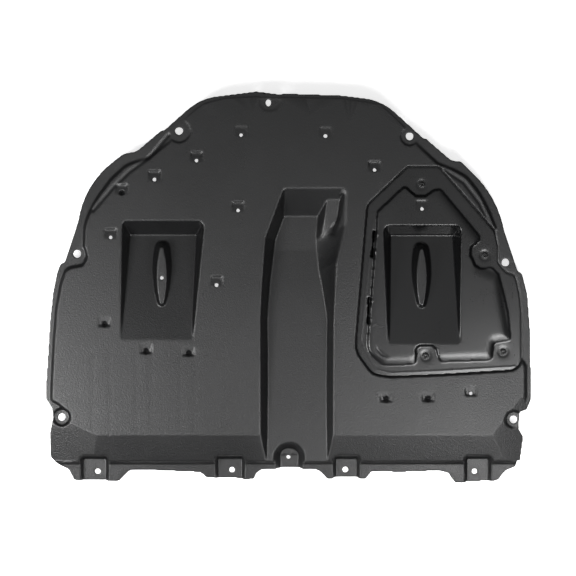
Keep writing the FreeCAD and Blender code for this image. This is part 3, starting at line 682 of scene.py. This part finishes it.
def turned_screw(node, place):
    """A cover screw: one profile of radius and height carried round its axis.

    From the foot of the shank it runs up the shank, out under the washer, over the washer's
    rounded rim, up the domed head and down into the socket.
    """
    low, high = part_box(node)
    washer = high.z - 0.0026
    profile = np.array([
        (0.0, low.z), (0.0022, low.z), (0.0029, low.z + 0.001), (0.0029, washer),
        (0.0060, washer), (0.0064, washer + 0.0003), (0.0064, washer + 0.0008),
        (0.0060, washer + 0.0011), (0.0050, washer + 0.0011), (0.0047, washer + 0.0013),
        (0.0045, washer + 0.0020), (0.0040, washer + 0.0025), (0.0033, washer + 0.0026),
        (0.0028, washer + 0.0024), (0.0026, washer + 0.0018), (0.0024, washer - 0.0022),
        (0.0, washer - 0.0024)])
    sides = 40
    turn = np.linspace(0, 2 * math.pi, sides, endpoint=False)
    radius, level = profile[1:-1, 0], profile[1:-1, 1]
    ring = np.stack([place[0] + np.outer(radius, np.cos(turn)),
                     place[1] + np.outer(radius, np.sin(turn)),
                     np.repeat(level[:, None], sides, 1)], -1).reshape(-1, 3)
    poles = np.array([(*place, profile[0, 1]), (*place, profile[-1, 1])])
    rows = np.arange(len(radius) - 1)[:, None] * sides
    here = np.arange(sides)
    beside = (here + 1) % sides
    walls = np.stack([rows + here, rows + beside, rows + sides + beside, rows + sides + here],
                     -1).reshape(-1, 4)
    top = (len(radius) - 1) * sides
    foot = np.stack([np.full(sides, len(ring)), beside, here], -1)
    head = np.stack([np.full(sides, len(ring) + 1), top + here, top + beside], -1)
    mesh = filled_mesh(node + "_turned", np.concatenate([ring, poles]), [walls, foot, head])
    mesh.shade_smooth()
    mesh.set_sharp_from_angle(angle=SHARP_ANGLE)
    screw = bpy.data.objects.new(node + "_turned", mesh)
    bpy.context.collection.objects.link(screw)
    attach(screw, "root")
    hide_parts(node)
    return screw


def square_distance(x, y, place):
    """How far each grid point is from a place, as squares round it: the larger of both ways."""
    return np.maximum(np.abs(x - place[0]), np.abs(y - place[1]))


def ramp(value, low, high):
    """0 below low, 1 above high and a smooth S between."""
    share = np.clip((value - low) / (high - low), 0, 1)
    return share * share * (3 - 2 * share)


def side_ledge(x, y):
    """The channel's side ledge: nearly level, steep on its left and falling away at its rear.

    A sloping plane, less a slope times the way past its left side and another slope times the
    way past its slanting rear end.
    """
    back = LEDGE_FRONT[1] - y
    left = LEDGE_FRONT[0] - LEDGE_LEAN * back - LEDGE_HALF_WIDTH - x
    end = LEDGE_END_START + LEDGE_END_SLANT * x - y
    form = LEDGE_LEVEL - LEDGE_FALL * back
    form = form - LEDGE_SIDE_SLOPE * np.clip(left, 0, None)
    form = form - LEDGE_END_SLOPE * np.clip(end, 0, None)
    return np.where(back > -0.02, form, 0.0)


def panel_form(x, y, heights):
    """The panel's heights with its low forms eased.

    Drains keep about half their depth and the front of the lip a fifth, and only forms less
    than 8 mm deep are lifted. The field falls to the two rear side seats along a sloping
    corner, the side ledge is laid over the channel's wall and blended into it at its end, and
    the rear pads tilt a little.
    """
    level = CAD_BOX[1].z
    lift = LIP_LIFT * ramp(y, *LIP_SPAN)
    for place in DRAINS:
        near = 1 - ramp(square_distance(x, y, place), *DRAIN_SPAN)
        lift = np.maximum(lift, DRAIN_LIFT * near)
    drop = level - heights
    shallow = 1 - ramp(drop, *LOW_FORM_SPAN)
    eased = level - drop * (1 - lift * shallow)
    turning = (np.abs(x) > SEATS_BEYOND) & (y < SEATS_BEHIND) & (drop < SEAT_DEEPEST)
    for (start_x, start_y), (down_x, down_y) in SEAT_FALLS:
        past = (x - start_x) * down_x + (y - start_y) * down_y
        fallen = np.minimum(eased, level - SEAT_SLOPE * past)
        eased = np.where((past > 0) & turning, fallen, eased)
    eased = np.maximum(eased, side_ledge(x, y))
    away = np.hypot(x - LEDGE_FADE_PLACE[0], y - LEDGE_FADE_PLACE[1])
    faded = np.exp(-(away / LEDGE_FADE_REACH) ** 2)
    eased = eased + faded * (blurred(eased, LEDGE_FADE_BLUR) - eased)
    pad = (1 - ramp(heights, *PAD_SPAN)) * (y < PADS_BEHIND)
    return eased + pad * PAD_TILT * np.clip(y - PAD_TILT_LINE, 0, None)


def cover_form(x, y, heights):
    """The cover's heights with the crown's straight fall made a curved one.

    The fall grows with the square of the way from the flat top to the crown's edge. It is
    narrow on the left and broad elsewhere, and steeper at the rear. Each screw stands in a
    shallow ringed dish, and the drain keeps a quarter of its depth.
    """
    away = line_distance(x, y, CROWN_LINE)
    rear = 1 - ramp(y, *FALL_REAR_SPAN)
    other_side = ramp(line_distance(x, y, CROWN_LEFT) - away, *FALL_SIDE_SPAN)
    run = FALL_RUN + (FALL_RUN_OTHER - FALL_RUN_REAR * rear) * other_side
    slope = FALL_SLOPE + FALL_SLOPE_REAR * rear
    curved = blurred(0.5 * slope * run * np.clip(1 - away / run, 0, None) ** 2, 2.0)
    drop = CROWN_TOP - heights
    near = 1 - ramp(square_distance(x, y, COVER_DRAIN), *COVER_DRAIN_SPAN)
    lift = COVER_DRAIN_LIFT * near * (drop < COVER_DRAIN_DEEPEST)
    eased = heights + drop * lift
    crown = np.where(away < STRAIGHT_FALL, CROWN_TOP, eased) - curved
    form = np.where(heights > FLANGE_TOP, crown, eased)
    for place in COVER_SCREWS.values():
        reach = np.hypot(x - place[0], y - place[1])
        dish = DISH_DEPTH * np.exp(-(reach / DISH_REACH) ** 2)
        ring = RING_DEPTH * np.exp(-((reach - RING_RADIUS) / RING_HALF_WIDTH) ** 2)
        form = form - (dish + ring) * (heights < FLANGE_TOP)
    return form


# Operators

class SHIELD_OT_panel(Operator):
    """Gives the moulded panel its grained satin plastic."""

    bl_idname = "shield.panel"
    bl_label = "Shield panel"

    def execute(self, context):
        finish = context.scene.shield_finish
        # The listed drains are closed with pits, painted shade in place of the shadow seen
        # through them.
        skin = moulded_skin("shield_panel", finish, PANEL_WALL, panel_form, PANEL_LINES,
                            SHADE_PIT_DRAINS)
        skin.data.materials.append(plastic(
            "Satin panel plastic", tuple(finish.panel_colour), finish,
            roughness=0.38, grain_share=1.0, scuffs=0.08))
        return {"FINISHED"}


class SHIELD_OT_cover(Operator):
    """Gives the access cover its smoother plastic."""

    bl_idname = "shield.cover"
    bl_label = "Access cover"

    def execute(self, context):
        finish = context.scene.shield_finish
        skin = moulded_skin("access_cover", finish, COVER_WALL, cover_form, COVER_LINES)
        skin.data.materials.append(plastic(
            "Glossy cover plastic", tuple(finish.cover_colour), finish,
            roughness=0.255, grain_share=0.15, scuffs=0.05))
        return {"FINISHED"}


class SHIELD_OT_fasteners(Operator):
    """Gives the cover screws and the clip nuts their metals."""

    bl_idname = "shield.fasteners"
    bl_label = "Fasteners"

    def execute(self, context):
        black = metal("Black coated steel", (0.006, 0.006, 0.0065), roughness=0.42, metallic=0.0)
        for side, place in COVER_SCREWS.items():
            screw = turned_screw("cover_screw_" + side, place)
            screw.data.materials.append(black)
        nuts = [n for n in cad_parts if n.startswith("clip_nut")]
        dress(nuts, metal("Plated clip steel", (0.42, 0.42, 0.40), roughness=0.38, metallic=1.0))
        return {"FINISHED"}


class SHIELD_OT_studio(Operator):
    """Sets the floor, the lamps and the camera."""

    bl_idname = "shield.studio"
    bl_label = "Studio"

    def execute(self, context):
        studio = context.scene.shield_studio
        make_floor(studio)
        make_lamp("Left lamp", *LEFT_LAMP, studio.left_power)
        make_lamp("Right lamp", *RIGHT_LAMP, studio.right_power)
        make_lamp("Overhead lamp", *OVERHEAD_LAMP, studio.overhead_power)
        make_camera(studio)
        make_world()
        context.scene.view_settings.view_transform = "Standard"
        return {"FINISHED"}


def make_floor(studio):
    """A flat pale floor that shows white to the camera and keeps the part's shadow.

    It lies a hair below the part, so that it shares no face with it.
    """
    half = 6.0
    corners = [(-half, -half, 0), (half, -half, 0), (half, half, 0), (-half, half, 0)]
    mesh = bpy.data.meshes.new("Floor")
    mesh.from_pydata(corners, [], [(0, 1, 2, 3)])
    floor = bpy.data.objects.new("Floor", mesh)
    floor.location.z = -0.0002
    bpy.context.collection.objects.link(floor)
    material = bpy.data.materials.new("Pale floor")
    material.use_nodes = True
    tree = material.node_tree
    shader = tree.nodes["Principled BSDF"]
    shader.inputs["Base Color"].default_value = (studio.floor_tone,) * 3 + (1,)
    shader.inputs["Roughness"].default_value = 0.9
    shader.inputs["Specular IOR Level"].default_value = 0.1
    path = tree.nodes.new("ShaderNodeLightPath")
    shader.inputs["Emission Color"].default_value = (1, 1, 1, 1)
    seen = math_node(tree, "MULTIPLY", path.outputs["Is Camera Ray"], FLOOR_GLOW)
    tree.links.new(seen, shader.inputs["Emission Strength"])
    mesh.materials.append(material)


def make_lamp(name, place, size, power):
    """A square soft lamp aimed at the middle of the part."""
    lamp = bpy.data.lights.new(name, "AREA")
    lamp.shape = "SQUARE"
    lamp.size = size
    lamp.energy = power
    thing = bpy.data.objects.new(name, lamp)
    thing.location = place
    thing.rotation_euler = (Vector((0, 0, 0)) - Vector(place)).to_track_quat("-Z", "Y").to_euler()
    thing.visible_camera = False
    bpy.context.collection.objects.link(thing)


def make_camera(studio):
    """A long lens straight above the middle of the part."""
    camera = bpy.data.cameras.new("Camera")
    camera.lens = camera.sensor_width * studio.camera_height / studio.view_width
    camera.clip_end = 100
    thing = bpy.data.objects.new("Camera", camera)
    thing.location = (0, 0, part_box("shield_panel")[1].z + studio.camera_height)
    bpy.context.collection.objects.link(thing)
    bpy.context.scene.camera = thing


def make_world():
    """An even pale surround: white to the camera, and only a faint light on the part."""
    world = bpy.data.worlds.new("Surround")
    bpy.context.scene.world = world
    world.use_nodes = True
    tree = world.node_tree
    path = tree.nodes.new("ShaderNodeLightPath")
    strength = math_node(tree, "MULTIPLY_ADD", path.outputs["Is Camera Ray"],
                         1 - SURROUND_LIGHT, SURROUND_LIGHT)
    tree.links.new(strength, tree.nodes["Background"].inputs["Strength"])
    tree.nodes["Background"].inputs["Color"].default_value = (1, 1, 1, 1)


class SHIELD_PT_sidebar(Panel):
    """Lists the shield's settings and steps."""

    bl_idname = "SHIELD_PT_sidebar"
    bl_label = "Splash shield"
    bl_space_type = "VIEW_3D"
    bl_region_type = "UI"
    bl_category = "Shield"

    def draw(self, context):
        for settings in (context.scene.shield_finish, context.scene.shield_studio):
            for name in settings.bl_rna.properties.keys():
                if name not in ("rna_type", "name"):
                    self.layout.prop(settings, name)
        for step in STEPS:
            self.layout.operator(step.bl_idname)


STEPS = (SHIELD_OT_panel, SHIELD_OT_cover, SHIELD_OT_fasteners, SHIELD_OT_studio)
CLASSES = (ShieldFinish, StudioSettings, *STEPS, SHIELD_PT_sidebar)


def register():
    """Registers the settings, the steps and the sidebar."""
    for item in CLASSES:
        bpy.utils.register_class(item)
    bpy.types.Scene.shield_finish = PointerProperty(type=ShieldFinish)
    bpy.types.Scene.shield_studio = PointerProperty(type=StudioSettings)


def unregister():
    """Removes them again."""
    del bpy.types.Scene.shield_studio
    del bpy.types.Scene.shield_finish
    for item in reversed(CLASSES):
        bpy.utils.unregister_class(item)


def main():
    """Registers the add-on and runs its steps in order."""
    register()
    bpy.ops.shield.panel()
    bpy.ops.shield.cover()
    bpy.ops.shield.fasteners()
    bpy.ops.shield.studio()


if __name__ == "__main__":
    main()
